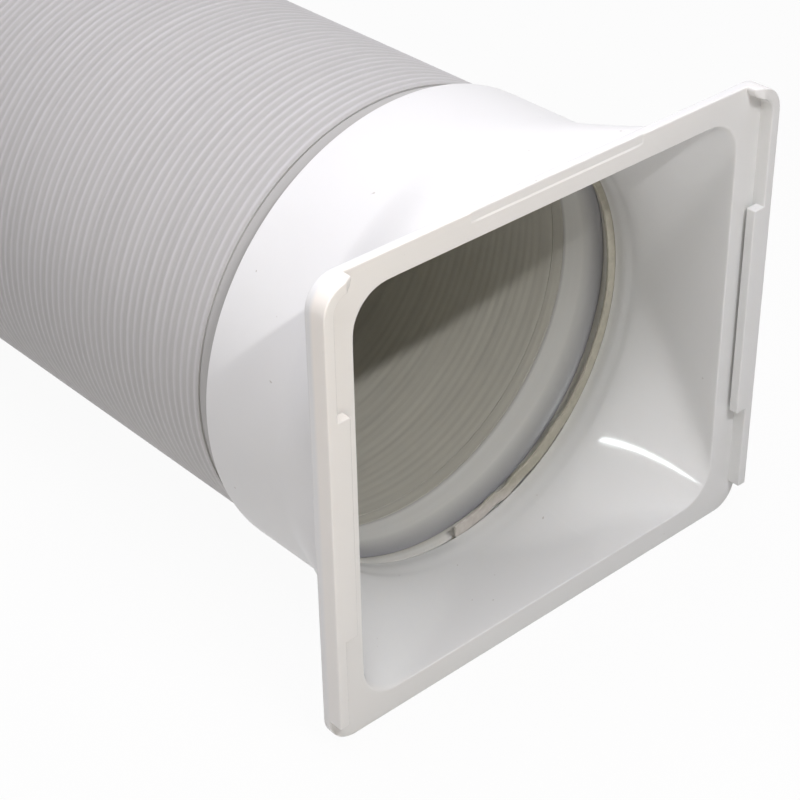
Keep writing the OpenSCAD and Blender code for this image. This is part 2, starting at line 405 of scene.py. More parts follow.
def adapter_plastic():
    """White moulded plastic: soft gloss, faint clouding, a few dark specks and handling marks."""
    material, tree, shader = plastic("adapter_plastic", (0.775, 0.78, 0.775), 0.12, subsurface=0.08)
    shader.inputs["Specular IOR Level"].default_value = 0.3
    clouds = remap(tree, noise_field(tree, 14, 3), 0.3, 0.7, 0.0, 1.0)
    clouded = mix_colour(tree, clouds, (0.76, 0.765, 0.76), (0.79, 0.795, 0.79))
    specks = remap(tree, noise_field(tree, 420, 1), 0.80, 0.82, 0.0, 0.5)
    speckled = mix_colour(tree, specks, clouded, (0.35, 0.31, 0.26))
    # Painted light: a warm pool of light painted on the front, strongest at the upper left.
    coloured = mix_colour(tree, painted_light_pool(tree), speckled, FRONT_PAINTED_LIGHT)
    tree.links.new(coloured, shader.inputs["Base Color"])
    smears = remap(tree, noise_field(tree, 30, 4, (1.0, 0.6, 1.6)), 0.3, 0.75, 0.09, 0.15)
    satin = remap(tree, attribute(tree, "outside"), 0.0, 1.0, 0.0, SATIN_OUTSIDE)
    tree.links.new(math_node(tree, "ADD", smears, satin), shader.inputs["Roughness"])
    bump(tree, shader, noise_field(tree, 12, 1), 0.05, 0.5 * MM)
    return material


# %% [markdown]
# ### Duct
#
# The duct is thin grey film that lets a little light through, so its shadows are soft. Its crests are
# painted paler and its valleys darker, a painted highlight and painted shade on the folds. Next to the
# collar it is painted darker, a painted shadow of the collar. The bore is painted paler and warmer than
# the outside, painted light with a warm painted shade, and paler still at the cuff's front, painted
# light in the shaded gap there. The mesh carries how near a crest each point lies, and whether it
# belongs to the bore, because a colour that follows the folds can't be had from the place alone once
# the duct bends.

# %% Duct plastic
def duct_plastic():
    """Thin grey film, satin: crests painted pale, painted shade by the collar; inside duller, painted warm.
    """
    material, tree, shader = plastic("duct_plastic", (0.50, 0.49, 0.49), 0.42, subsurface=0.15)
    shader.inputs["Sheen Weight"].default_value = 0.3
    streaks = remap(tree, noise_field(tree, 16, 5, (1.0, 26.0, 1.0)), 0.3, 0.7, 0.0, 1.0)
    # Painted highlight and shade: the crests are painted paler than the valleys.
    valley_painted_shade = mix_colour(tree, streaks, (0.405, 0.40, 0.39), (0.45, 0.445, 0.435))
    ridge_painted_highlight = mix_colour(tree, streaks, (0.505, 0.495, 0.50), (0.56, 0.55, 0.56))
    ribbed = mix_colour(tree, attribute(tree, "crest"), valley_painted_shade, ridge_painted_highlight)
    along = object_place(tree).outputs["Y"]
    # Painted shade: the outside is painted darker next to the collar, a painted shadow of the collar.
    collar_painted_shade = remap(tree, along, 63 * MM, 69 * MM, 0.6, 0.0)
    outside = mix_colour(tree, collar_painted_shade, ribbed, (0.29, 0.29, 0.26))
    # Painted light: the bore is painted paler and warmer than the outside, with a warm painted shade.
    bore = mix_colour(tree, streaks, (0.54, 0.525, 0.47), (0.62, 0.605, 0.54))
    # Painted light: the bore is painted paler at the cuff's front, in the shaded gap behind the strip.
    mouth = remap(tree, along, 47 * MM, 50 * MM, 1.0, 0.0)
    inside = mix_colour(tree, mouth, bore, (0.86, 0.85, 0.81))
    coloured = mix_colour(tree, attribute(tree, "inside"), outside, inside)
    tree.links.new(coloured, shader.inputs["Base Color"])
    tree.links.new(remap(tree, streaks, 0.0, 1.0, 0.38, 0.50), shader.inputs["Roughness"])
    bump(tree, shader, noise_field(tree, 60, 4, (1.0, 8.0, 1.0)), 0.12, 0.2 * MM)
    return material


# %% [markdown]
# ### Liner
#
# The sleeve in the duct's end is the same plastic, smoother and cleaner. Its rolled mouth lies in a
# shaded groove, so its colour is painted darker towards the front edge, a painted shadow, and a thin
# painted shadow darkens its back rim. The noise is packed along the duct, which leaves faint rings as
# turning or winding does.

# %% Liner plastic
LINER_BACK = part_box("cuff_liner")[1].y


def liner_plastic():
    """The smooth sleeve inside the cuff, with painted shade in the groove at its mouth and at its back rim.
    """
    material, tree, shader = plastic("liner_plastic", (0.78, 0.77, 0.75), 0.38, subsurface=0.10)
    turning = remap(tree, noise_field(tree, 20, 4, (1.0, 18.0, 1.0)), 0.3, 0.7, 0.0, 1.0)
    clean = mix_colour(tree, turning, (0.84, 0.84, 0.815), (0.88, 0.88, 0.855))
    along = object_place(tree).outputs["Y"]
    # Painted shade: darker towards the rolled mouth, a painted shadow in the groove.
    groove_painted_shade = remap(tree, along, 49.5 * MM, 56.5 * MM, 1.0, 0.0)
    groove_shaded = mix_colour(tree, groove_painted_shade, clean, (0.31, 0.31, 0.325))
    # Painted shade: a thin dark line at the back rim, a painted shadow.
    back_rim_painted_shade = remap(tree, along, LINER_BACK - 1.6 * MM, LINER_BACK - 0.4 * MM, 0.0, 0.5)
    coloured = mix_colour(tree, back_rim_painted_shade, groove_shaded, (0.36, 0.35, 0.33))
    tree.links.new(coloured, shader.inputs["Base Color"])
    tree.links.new(remap(tree, turning, 0.0, 1.0, 0.34, 0.46), shader.inputs["Roughness"])
    bump(tree, shader, turning, 0.08, 0.2 * MM)
    return material


# %% [markdown]
# ### Foam strip
#
# The strip is closed-cell foam, matt and grainy. It is tan, and paler and pinker low down. Real pores
# would need a great many faces, so fine noise darkens and dents the surface.

# %% Strip foam
def strip_foam():
    """Tan closed-cell foam: matt and grainy, darker in its pores."""
    material, tree, shader = plastic("strip_foam", (0.50, 0.46, 0.36), 0.85)
    pores = remap(tree, noise_field(tree, 500, 2), 0.3, 0.7, 0.0, 1.0)
    # Tan higher up, and paler and pinker low down.
    upper_tan = mix_colour(tree, pores, (0.43, 0.41, 0.335), (0.51, 0.485, 0.405))
    lower_pale = mix_colour(tree, pores, (0.60, 0.56, 0.52), (0.68, 0.64, 0.60))
    low_down = remap(tree, object_place(tree).outputs["Z"], -67 * MM, -62 * MM, 1.0, 0.0)
    tree.links.new(mix_colour(tree, low_down, upper_tan, lower_pale), shader.inputs["Base Color"])
    bump(tree, shader, pores, 0.25, 0.2 * MM)
    return material


MATERIALS = {
    "adapter_white": adapter_plastic(),
    "duct_grey": duct_plastic(),
    "liner_grey": liner_plastic(),
    "tan_strip": strip_foam(),
}
print("materials:", ", ".join(MATERIALS))

# %% [markdown]
# ## Mesh helpers
#
# Round pieces are turned: a flat profile of radius and distance is spun once round the duct's axis. Their
# sharp corners are then rounded with one bevel over every edge that is sharper than a set angle, which is
# how a moulding or a formed sheet ends up too. Each finished piece gets its material, its body and the
# solid that it stands for in one call, so that none of the three is forgotten.

# %% Mesh helpers
ROUND_STEPS = 144
SHARP_ANGLE = math.radians(32)
DUCT_AXIS = Vector((0, 1, 0))


def sharp_edges(bm):
    """Every edge whose two faces meet at more than the sharp angle."""
    return [e for e in bm.edges if len(e.link_faces) == 2 and e.calc_face_angle(0) > SHARP_ANGLE]


def soften(bm, edges, width, segments=3):
    """Rounds edges over by a width."""
    bmesh.ops.bevel(bm, geom=edges, offset=width, offset_type="OFFSET", segments=segments,
                    profile=0.5, affect="EDGES", clamp_overlap=True, material=-1)


def turned(profile, steps=ROUND_STEPS):
    """Spins a closed profile, given as (radius, distance along the duct), once round the axis."""
    bm = bmesh.new()
    corners = [bm.verts.new((radius, along, 0)) for radius, along in profile]
    sides = [bm.edges.new(pair) for pair in zip(corners, corners[1:] + corners[:1])]
    bmesh.ops.spin(bm, geom=corners + sides, cent=(0, 0, 0), axis=DUCT_AXIS,
                   angle=math.tau, steps=steps, use_merge=True)
    bmesh.ops.recalc_face_normals(bm, faces=bm.faces)
    return bm


def finish_piece(bm, name, node, slot, body=None, even_shading=True):
    """Makes the mesh a piece that stands for its solid, and lets it ride on its body if one is given."""
    open_edges = sum(len(edge.link_faces) != 2 for edge in bm.edges)
    for face in bm.faces:
        face.smooth = True
    for edge in sharp_edges(bm):
        edge.smooth = False
    mesh = bpy.data.meshes.new(name)
    bm.to_mesh(mesh)
    bm.free()
    piece = bpy.data.objects.new(name, mesh)
    bpy.context.scene.collection.objects.link(piece)
    piece.data.materials.append(MATERIALS[slot])
    if even_shading:
        shading = piece.modifiers.new("even_shading", "WEIGHTED_NORMAL")
        shading.keep_sharp = True
    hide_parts(node)
    if body:
        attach(piece, body)
    print(name, "has", len(mesh.polygons), "faces and", open_edges, "open edges")
    return piece


def part_span(node):
    """First and last place of a solid along the duct, and its largest radius."""
    low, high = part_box(node)
    return low.y, high.y, high.z


# %% [markdown]
# ## Adapter: one moulded shell
#
# The adapter is a single injection moulding, round at one end and rectangular at the other. It could be
# cut from solids with booleans, but their edges shade badly and are hard to round. Here a ring of points
# is drawn at the mouth and extruded again and again: back through the flare and the collar, round the
# rear rim, forward over the outside, and out over the flange to the ring where it began. Every ring is a
# rounded rectangle, and a circle is the one whose corners meet. A point keeps its direction from the axis
# on every ring, so the columns run true and the skin has no twist.

# %% Adapter sizes
adapter_low, adapter_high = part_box("adapter_shell")
cuff_front, cuff_back, CUFF_RADIUS = part_span("near_cuff")
FLANGE_HALF_W = adapter_high.x
FLANGE_HALF_H = 76.5 * MM
FLANGE_T = 3.2 * MM
FLANGE_CORNER = 9 * MM
MOUTH_HALF_W = 74 * MM
MOUTH_HALF_H = 68 * MM
MOUTH_CORNER = 12 * MM
COLLAR_RADIUS = -adapter_low.z
COLLAR_END = adapter_high.y
COLLAR_BORE = 74.6 * MM
SHOULDER_RADIUS = 71.4 * MM
SHOULDER_Y = 43 * MM
FLARE_BORE_END = 34 * MM
FLARE_END = 31 * MM
FLARE_FOOT = (76.6 * MM, 69.8 * MM, 25 * MM)
FLARE_CURVE = 1.4
FILLET_RIM = (86.4 * MM, 75.9 * MM, 8.4 * MM)
FILLET_LENGTH = 8 * MM
LIP_W = 3.4 * MM
LIP_H = -adapter_low.y
LIP_END_Z = 67 * MM
HOOK_END_X = 76.5 * MM
HOOK_RAMP_X = 79.8 * MM
HOOK_END_H = 3.0 * MM
NOSE_SHARE = 0.4
BAR_HALF = 36.5 * MM
BAR_REACH = 4.2 * MM
BAR_BACK = 1.2 * MM
RELIEF_HALF = 32.5 * MM
RELIEF_DEPTH = 0.32 * MM
RELIEF_RAMP = 0.55 * MM
EDGE_ROUND = 0.45 * MM
print("flange is", round(2 * FLANGE_HALF_W / MM), "mm wide")


# %% [markdown]
# The mouth, the flare and the flange have corners in different places, and a ring that is spaced
# evenly would miss some of them. The directions are therefore chosen where the rails, the hooks and
# the relief begin and end, with closer steps round the corners. One quarter is worked out and then
# mirrored, so that the adapter stays symmetrical.

# %% Ring of directions
def corner_direction(x, z):
    """Direction of a place on the flange's outline, in degrees from the +X side."""
    return math.degrees(math.atan2(z, x))


def quarter_directions():
    """Directions in one quarter: exact at the rails' ends, and close together round the corners."""
    stops = [
        (0.0, 2.0),
        (corner_direction(FLANGE_HALF_W, BAR_HALF), 2.0),
        (31.0, 0.8),
        (corner_direction(FLANGE_HALF_W, LIP_END_Z), 0.7),
        (corner_direction(HOOK_RAMP_X, FLANGE_HALF_H), 0.3),
        (corner_direction(HOOK_END_X, FLANGE_HALF_H), 0.8),
        (54.0, 2.0),
        (corner_direction(RELIEF_HALF + RELIEF_RAMP, FLANGE_HALF_H), 1.0),
        (corner_direction(RELIEF_HALF, FLANGE_HALF_H), 2.0),
        (90.0, 1.0),
    ]
    quarter = []
    for (start, step), (end, _) in zip(stops, stops[1:]):
        count = max(1, round((end - start) / step))
        quarter += [start + (end - start) * i / count for i in range(count)]
    return quarter + [90.0]


quarter = quarter_directions()
upper = quarter + [180 - angle for angle in reversed(quarter[:-1])]
DIRECTIONS = [math.radians(angle) for angle in upper]
DIRECTIONS += [math.radians(360 - angle) for angle in reversed(upper[1:-1])]
print("ring of", len(DIRECTIONS), "directions")


# %% [markdown]
# Every ring is a rounded rectangle that is cut by rays from the axis. A subdivision surface would
# round the shape by itself, but it would also pull in the flat flange and its straight edges. The
# rays give exact sizes, and two outlines blend into each other by blending their three measures.

# %% Rounded rectangles
def outline_point(half_w, half_h, corner, direction):
    """Where a ray from the axis leaves a rounded rectangle, and the way straight out there."""
    ray_x, ray_z = abs(math.cos(direction)), abs(math.sin(direction))
    centre = Vector((half_w - corner, half_h - corner))
    if ray_x * centre.y >= half_w * ray_z:
        point, out = Vector((half_w, half_w * ray_z / ray_x)), Vector((1, 0))
    elif ray_z * centre.x >= half_h * ray_x:
        point, out = Vector((half_h * ray_x / ray_z, half_h)), Vector((0, 1))
    else:
        ray = Vector((ray_x, ray_z))
        along = ray.dot(centre)
        point = ray * (along + math.sqrt(along ** 2 - centre.length_squared + corner ** 2))
        out = (point - centre).normalized()
    flip_x = 1 if math.cos(direction) >= 0 else -1
    flip_z = 1 if math.sin(direction) >= 0 else -1
    return Vector((point.x * flip_x, point.y * flip_z)), Vector((out.x * flip_x, out.y * flip_z))


def ring_place(outline, y, direction, inset=0.0):
    """A point of a ring, moved inwards from its outline by the inset."""
    point, out = outline_point(*outline, direction)
    point = point - out * inset
    return Vector((point.x, y, point.y))


def between(first, second, share):
    """The outline that lies at a share of the way from the first to the second."""
    return tuple(start + (end - start) * share for start, end in zip(first, second))


def flare_outline(rectangle, start, circle_radius, end, y):
    """Hollows out from the rectangle at the start to the circle at the end."""
    share = max(0.0, (end - y) / (end - start)) ** FLARE_CURVE
    return between((circle_radius,) * 3, rectangle, share)


# %% [markdown]
# The rings are listed in the order in which the skin is drawn. The flare is hollowed by an exponent,
# which makes it steep at the mouth and gentle at the throat, and a low roll marks where it becomes
# round. Outside, a quarter turn of rings makes the fillet between the flare and the flange.

# %% Adapter rings
THROAT_STATIONS = [35 + 0.5 * step for step in range(15)]
THROAT_MIDDLE = 38.6 * MM
THROAT_HALF = 4.0 * MM
THROAT_RISE = 0.35 * MM


def throat_roll(y):
    """Height of the soft roll where the flare turns into the round throat."""
    away = abs(y - THROAT_MIDDLE) / THROAT_HALF
    return THROAT_RISE * 0.5 * (1 + math.cos(math.pi * away)) if away < 1 else 0.0


def inner_rings():
    """Rings through the flare and the collar, from the mouth's edge to the rear rim."""
    mouth = (MOUTH_HALF_W, MOUTH_HALF_H, MOUTH_CORNER)
    stations = [0, 2, 4, 7, 10, 13, 16, 19, 22, 25, 28, 31, 33, 34, *THROAT_STATIONS, 43]
    rings = [(flare_outline(mouth, 0, SHOULDER_RADIUS, FLARE_BORE_END, y * MM), y * MM,
              throat_roll(y * MM)) for y in stations]
    rings.append(((COLLAR_BORE,) * 3, SHOULDER_Y, 0))
    rings.append(((COLLAR_BORE,) * 3, COLLAR_END, 0))
    return rings


def outer_rings():
    """Rings over the outside, from the rear rim to the fillet's rim on the flange's back."""
    collar = (COLLAR_RADIUS,) * 3
    fillet_end = FLANGE_T + FILLET_LENGTH
    rings = [(collar, COLLAR_END, 0), (collar, 48 * MM, 0), (collar, 36 * MM, 0)]
    for step in range(10):
        y = FLARE_END + (fillet_end - FLARE_END) * step / 10
        rings.append((flare_outline(FLARE_FOOT, FLANGE_T, COLLAR_RADIUS, FLARE_END, y), y, 0))
    for step in range(9):
        turn = math.radians(90 * step / 8)
        y = fillet_end - FILLET_LENGTH * math.sin(turn)
        flare = flare_outline(FLARE_FOOT, FLANGE_T, COLLAR_RADIUS, FLARE_END, y)
        rings.append((between(flare, FILLET_RIM, 1 - math.cos(turn)), y, 0))
    return rings


def flange_rings():
    """Rings round the flange's edge and over its face, back to the mouth."""
    flange = (FLANGE_HALF_W, FLANGE_HALF_H, FLANGE_CORNER)
    return [(flange, FLANGE_T, 0), (flange, 0, 0), (flange, 0, LIP_W - RELIEF_RAMP), (flange, 0, LIP_W)]


# %% [markdown]
# One ring is drawn and extruded along the list, and the last ring is bridged to the first. Each point
# keeps its row and its column in two layers, so that the next cells can pick points by where they
# belong and need no search by distance. A third layer tells the outside from the inside for the gloss.

# %% Draw the adapter's skin
OUTER_ROWS = range(len(inner_rings()), len(inner_rings()) + len(outer_rings()))


def draw_skin(rings):
    """Extrudes a ring of points through every ring in turn and closes the last on the first."""
    bm = bmesh.new()
    outside = bm.verts.layers.float.new("outside")
    column = bm.verts.layers.int.new("column")
    row = bm.verts.layers.int.new("row")
    bmesh.ops.create_circle(bm, segments=len(DIRECTIONS), radius=MOUTH_HALF_W)
    for index, vert in enumerate(bm.verts):
        vert[column] = index
    loop = list(bm.edges)
    verts = list(bm.verts)
    for number, (outline, y, inset) in enumerate(rings):
        if number:
            drawn = bmesh.ops.extrude_edge_only(bm, edges=loop)["geom"]
            loop = [g for g in drawn if isinstance(g, bmesh.types.BMEdge)
                    and all(v in drawn for v in g.verts)]
            verts = [g for g in drawn if isinstance(g, bmesh.types.BMVert)]
        for vert in verts:
            vert[row] = number
            vert[outside] = 1.0 if number in OUTER_ROWS else 0.0
            vert.co = ring_place(outline, y, DIRECTIONS[vert[column]], inset)
    first = [e for e in bm.edges if all(v[row] == 0 for v in e.verts)]
    bmesh.ops.bridge_loops(bm, edges=first + loop)
    bmesh.ops.recalc_face_normals(bm, faces=bm.faces)
    return bm, column, row


adapter_rings = inner_rings() + outer_rings() + flange_rings()
adapter_bm, column_layer, row_layer = draw_skin(adapter_rings)
LAST_ROW = len(adapter_rings) - 1
print("adapter skin has", len(adapter_bm.faces), "faces in", LAST_ROW + 1, "rings")

# %% [markdown]
# ## Adapter: relief along the top edge
#
# The middle of the flange's top edge is a little thinner than the rest, which shows as a fine bright line
# along a short slope. A cut with a boolean would leave loose corners, so the two outer rows are pressed
# back instead. The slope's long edges stay sharp, or smooth shading would wipe the line out.

# %% Relief along the top edge
SLOPE_EDGE = 0.8 * MM


def press_relief(bm):
    """Sinks the middle of the top edge a little; the short slope round it keeps its long edges."""
    for vert in bm.verts:
        on_edge = vert[row_layer] in (LAST_ROW - 2, LAST_ROW - 1) and abs(vert.co.y) < 0.01 * MM
        if on_edge and vert.co.z > FLANGE_HALF_H - LIP_W and abs(vert.co.x) <= RELIEF_HALF + 0.1 * MM:
            vert.co.y = RELIEF_DEPTH
    slack = 0.02 * MM
    for face in bm.faces:
        on_slope = slack < face.calc_center_median().y < RELIEF_DEPTH - slack and face.normal.y < -0.5
        if on_slope:
            for edge in face.edges:
                edge.smooth = edge.calc_length() < SLOPE_EDGE


press_relief(adapter_bm)
print("relief is", round(2 * RELIEF_HALF / MM), "mm long")


# %% [markdown]
# ## Adapter: lips
#
# Two lips run down the flange's sides and hook round its top corners, where they get lower and end in
# a rounded nose. They hold the window panel. The rings were placed so that the lips' edges are
# already there: the faces of the outer band are picked by place and extruded forward, and the faces
# that they grew from are deleted. Growing them out of the skin keeps one closed moulding.

# %% Lips with hooked tops
RAMP_START = corner_direction(HOOK_END_X, FLANGE_HALF_H)
RAMP_END = corner_direction(HOOK_RAMP_X, FLANGE_HALF_H)
BAND_FADE = 9.0


def from_side(vert):
    """How far round from the nearer side a point lies, in degrees."""
    direction = math.degrees(DIRECTIONS[vert[column_layer]])
    return direction if direction <= 90 else 180 - direction


def hook_share(vert):
    """0 at the hook's tip, 1 where the lip has its full size."""
    if vert.co.z < 0:
        return 1.0
    return min(1.0, max(0.0, (RAMP_START - from_side(vert)) / (RAMP_START - RAMP_END)))


def round_noses(bm):
    """Narrows the band towards each hook's tip, and widens it again beyond the tip."""
    flange = (FLANGE_HALF_W, FLANGE_HALF_H, FLANGE_CORNER)
    for vert in bm.verts:
        if vert[row_layer] < LAST_ROW - 1:
            continue
        share = hook_share(vert)
        width = NOSE_SHARE + (1 - NOSE_SHARE) * math.sqrt(share * (2 - share))
        beyond = 0.0 if vert.co.z < 0 else (from_side(vert) - RAMP_START) / BAND_FADE
        beyond = min(1.0, max(0.0, beyond))
        width += (1 - width) * beyond
        middle = 0.5 + (1 - RELIEF_RAMP / LIP_W - 0.5) * beyond
        inset = LIP_W * width * (1.0 if vert[row_layer] == LAST_ROW else middle)
        vert.co = ring_place(flange, vert.co.y, DIRECTIONS[vert[column_layer]], inset)


def raise_lips(bm):
    """Extrudes the band along both sides and round the top corners into two lips."""
    band = {LAST_ROW - 2, LAST_ROW - 1, LAST_ROW}
    slack = 0.2 * MM

    def in_lip(face):
        if not all(v[row_layer] in band for v in face.verts) or abs(face.normal.y) < 0.9:
            return False
        centre = face.calc_center_median()
        return centre.z > -LIP_END_Z and abs(centre.x) > HOOK_END_X - slack

    faces = [f for f in bm.faces if in_lip(f)]
    count = len(faces)
    raised = bmesh.ops.extrude_face_region(bm, geom=faces)["geom"]
    bmesh.ops.delete(bm, geom=faces, context="FACES")
    tops = [g for g in raised if isinstance(g, bmesh.types.BMVert)]
    for vert in tops:
        vert.co.y = -(HOOK_END_H + (LIP_H - HOOK_END_H) * hook_share(vert))
    return count


round_noses(adapter_bm)
print("lips raised from", raise_lips(adapter_bm), "faces")


# %% [markdown]
# ## Adapter: bars
#
# Halfway down, a bar grows inwards from each lip and leaves a slot behind it for the panel. The lip's
# inner wall is cut at the bar's back, and only the part in front of the cut is extruded. One bevel
# then rounds every outer edge of the moulding; the inner corners stay as they are, because a bevel
# there would take material away where a mould would add it.

# %% Bars over the slots
def push_out_bars(bm):
    """Grows a bar inwards from each lip, its back clear of the flange's face."""
    slack = 0.05 * MM

    def on_inner_wall(face):
        centre = face.calc_center_median()
        return (abs(abs(centre.x) - (FLANGE_HALF_W - LIP_W)) < slack and abs(face.normal.x) > 0.9
                and abs(centre.z) < BAR_HALF and -LIP_H < centre.y < 0)

    walls = [f for f in bm.faces if on_inner_wall(f)]
    geometry = {g for f in walls for g in [f, *f.edges, *f.verts]}
    bmesh.ops.bisect_plane(bm, geom=list(geometry), plane_co=(0, -BAR_BACK, 0), plane_no=(0, 1, 0))
    for side in (-1, 1):
        fronts = [f for f in bm.faces if on_inner_wall(f) and f.calc_center_median().x * side > 0
                  and f.calc_center_median().y < -BAR_BACK]
        grown = bmesh.ops.extrude_face_region(bm, geom=fronts)["geom"]
        bmesh.ops.delete(bm, geom=fronts, context="FACES")
        tips = [g for g in grown if isinstance(g, bmesh.types.BMVert)]
        bmesh.ops.translate(bm, verts=tips, vec=(-side * BAR_REACH, 0, 0))


bmesh.ops.recalc_face_normals(adapter_bm, faces=adapter_bm.faces)
push_out_bars(adapter_bm)
bmesh.ops.recalc_face_normals(adapter_bm, faces=adapter_bm.faces)
outer_edges = [e for e in sharp_edges(adapter_bm) if e.calc_face_angle_signed(0) > 0]
soften(adapter_bm, outer_edges, EDGE_ROUND)
finish_piece(adapter_bm, "adapter_moulding", "adapter_shell", "adapter_white", "adapter")

# %% [markdown]
# ## Sealing strip
#
# A thin foam strip is stuck on the shoulder in front of the duct's cuff. It was laid by hand: it wanders
# a little, bulges inwards near its end and stops short of closing the ring. It could be a curve with a
# profile, but a curve has to become a mesh before its ends can be rounded. So a small rectangle is swept
# round the axis with spin, and its points are then moved by a smooth bulge and a little noise.

# %% Sealing strip
STRIP_START = math.radians(-88.5)
STRIP_SPAN = math.radians(314.5)
STRIP_STEPS = 240
INWARD_PUSHES = ((-92, 2.0), (-80, 2.6), (-74, 3.8), (-70, 2.3), (-64, 3.3), (-56, 2.6), (-47, 2.7),
                 (-40, 1.5), (-25, 1.2), (0, 0.9), (30, 0.4), (60, 0.0))
STRIP_RADIUS = 69.6 * MM
STRIP_THICKNESS = 1.2 * MM


def laid_strip():
    """The strip's solid, swept from its free end round to its other end."""
    low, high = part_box("sealing_strip")
    outer, back = high.z, low.y + STRIP_THICKNESS
    bm = bmesh.new()
    section = [(STRIP_RADIUS, low.y), (outer, low.y), (outer, back), (STRIP_RADIUS, back)]
    corners = [bm.verts.new((radius, y, 0)) for radius, y in section]
    face = bm.faces.new(corners)
    bmesh.ops.rotate(bm, verts=corners, cent=(0, 0, 0), matrix=Matrix.Rotation(-STRIP_START, 3, "Y"))
    bmesh.ops.spin(bm, geom=[face], cent=(0, 0, 0), axis=DUCT_AXIS, angle=-STRIP_SPAN,
                   steps=STRIP_STEPS, use_merge=False)
    bmesh.ops.recalc_face_normals(bm, faces=bm.faces)
    soften(bm, sharp_edges(bm), 0.4 * MM, segments=2)
    return bm


def pushed_in(degrees):
    """How far the strip strays inwards at a direction; smooth between the listed places."""
    for (start, first), (end, second) in zip(INWARD_PUSHES, INWARD_PUSHES[1:]):
        if start <= degrees <= end:
            share = (degrees - start) / (end - start)
            return (first + (second - first) * share * share * (3 - 2 * share)) * MM
    return 0.0


def lay_by_hand(bm):
    """Moves the strip's points in and out as a hand would have laid it."""
    for vert in bm.verts:
        angle = math.atan2(vert.co.z, vert.co.x)
        radius = math.hypot(vert.co.x, vert.co.z)
        bulge = pushed_in(math.degrees(angle))
        wander = noise.noise(Vector((math.cos(angle), math.sin(angle), 0)) * 3.0) * 0.5 * MM
        scale = (radius - bulge + wander) / radius
        vert.co.x *= scale
        vert.co.z *= scale


strip_bm = laid_strip()
lay_by_hand(strip_bm)
finish_piece(strip_bm, "foam_strip", "sealing_strip", "tan_strip", "adapter")

# %% [markdown]
# ## The ribbed duct
#
# The duct's wall is wound from one ribbed strip, so its ribs form a long screw. Spin can draw a screw: a
# profile that also slides along the axis by one rib on each full turn meets itself one rib further on.
# The profile is drawn one rib too long, spun, welded along the seam, cut square at both ends of its
# stretch, and closed with a ring at each end. The ribs of all the stretches then line up, because every
# profile counts its ribs from the same place.

# %% Rib profile
RIB_PITCH = 3.3 * MM
CREST_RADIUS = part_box("hose_near")[1].z
INNER_RADIUS = 70.5 * MM
OUTER_DEPTH = 0.30 * MM
INNER_DEPTH = 0.08 * MM
WALL_MIDDLE = 73.4 * MM
FIRST_CREST = 73.0 * MM
RIB_STEPS = 8
DUCT_STEPS = 128


def outer_radius(y):
    """Radius of the outside: narrow rounded crests with wider flat valleys between them."""
    phase = (y - FIRST_CREST) / RIB_PITCH
    crest = (0.5 + 0.5 * math.cos(math.tau * phase)) ** 2.6
    return CREST_RADIUS - OUTER_DEPTH * (1 - crest)


def inner_radius(y):
    """Radius of the bore: the fold's back lies between two outer crests."""
    phase = (y - FIRST_CREST) / RIB_PITCH
    fold = 0.5 - 0.5 * math.cos(math.tau * phase)
    return INNER_RADIUS + INNER_DEPTH * (1 - fold)


# %% [markdown]
# Only one rib is drawn. It is spun once round while it advances by its own length, so that its end
# meets the start of the next. All the stretches are built from copies of this mesh.

# %% One rib
def one_rib():
    """Both walls of the duct over a single rib, spun once round while they advance by that rib."""
    bm = bmesh.new()
    stations = [FIRST_CREST + RIB_PITCH * i / RIB_STEPS for i in range(RIB_STEPS + 1)]
    profiles = []
    for radius_at in (outer_radius, inner_radius):
        points = [bm.verts.new((radius_at(y), y, 0)) for y in stations]
        profiles += points + [bm.edges.new(pair) for pair in zip(points, points[1:])]
    bmesh.ops.spin(bm, geom=profiles, cent=(0, 0, 0), axis=DUCT_AXIS, angle=math.tau,
                   dvec=(0, RIB_PITCH / DUCT_STEPS, 0), steps=DUCT_STEPS, use_merge=False)
    mesh = bpy.data.meshes.new("one_rib")
    bm.to_mesh(mesh)
    bm.free()
    return mesh


rib_mesh = one_rib()
print("one rib has", len(rib_mesh.polygons), "faces")


# %% [markdown]
# A stretch is a stack of such ribs, welded and cut off square at both ends. The ends are closed with a
# flat ring each, because an open wall would look like paper and would have no inside. The points near
# a crest and the points of the bore are marked here for the duct's material.

# %% Stretch of duct
def mark_walls(bm):
    """Notes on each point how near a crest it lies, and whether it belongs to the bore."""
    crest = bm.verts.layers.float.new("crest")
    inside = bm.verts.layers.float.new("inside")
    for vert in bm.verts:
        radius = math.hypot(vert.co.x, vert.co.z)
        vert[crest] = max(0.0, (radius - CREST_RADIUS) / OUTER_DEPTH + 1)
        vert[inside] = 1.0 if radius < WALL_MIDDLE else 0.0


def stretch_of_duct(node):
    """The ribbed wall over one solid's length, closed at both ends."""
    start, end, _ = part_span(node)
    first = math.floor((start - FIRST_CREST) / RIB_PITCH) - 1
    last = math.ceil((end - FIRST_CREST) / RIB_PITCH)
    bm = bmesh.new()
    for number in range(first, last):
        older = len(bm.verts)
        bm.from_mesh(rib_mesh)
        bm.verts.ensure_lookup_table()
        bmesh.ops.translate(bm, verts=bm.verts[older:], vec=(0, RIB_PITCH * number, 0))
    bmesh.ops.remove_doubles(bm, verts=bm.verts, dist=0.01 * MM)
    for place, outward in ((start, -1), (end, 1)):
        bmesh.ops.bisect_plane(bm, geom=[*bm.verts, *bm.edges, *bm.faces], dist=0.001 * MM,
                               plane_co=(0, place, 0), plane_no=(0, outward, 0), clear_outer=True)
        rims = [e for e in bm.edges if e.is_boundary
                and all(abs(v.co.y - place) < 0.01 * MM for v in e.verts)]
        bmesh.ops.triangle_fill(bm, edges=rims, normal=(0, outward, 0), use_beauty=False)
    bmesh.ops.recalc_face_normals(bm, faces=bm.faces)
    mark_walls(bm)
    return bm


